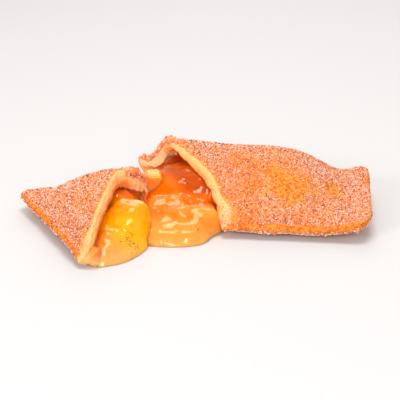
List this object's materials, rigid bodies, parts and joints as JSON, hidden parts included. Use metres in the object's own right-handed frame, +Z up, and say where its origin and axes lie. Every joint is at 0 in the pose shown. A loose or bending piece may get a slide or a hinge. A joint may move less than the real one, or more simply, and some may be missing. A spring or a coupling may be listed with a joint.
{
  "type": "apple pie",
  "caption": "Fried apple hand pie torn in two: sugared dough pockets with ragged open mouths, joined by a glossy run-out filling with diced apple.",
  "frame": {"origin": "on the surface the pie lies on, under the middle of its bounding box", "axes": "+X along the pie's length, from the left half to the right half, +Y away from the side with the pressed seam in front, +Z up"},
  "size_m": [0.1606, 0.1035, 0.0272],
  "materials": {
    "sugared_crust": "fried dough, matt, with sugar on it",
    "apple_filling": "wet, glossy, slightly see-through",
    "apple": "cooked apple, wet and glossy"
  },
  "bodies": {
    "root": {"crust_right": "sugared_crust", "crust_left": "sugared_crust", "filling": "apple_filling", "apple_chunk_back": "apple", "apple_chunk_middle": "apple", "apple_chunk_front": "apple", "apple_chunk_seam": "apple", "apple_slab": "apple", "apple_chunk_left": "apple", "apple_chunk_tip": "apple"}
  },
  "joints": []
}
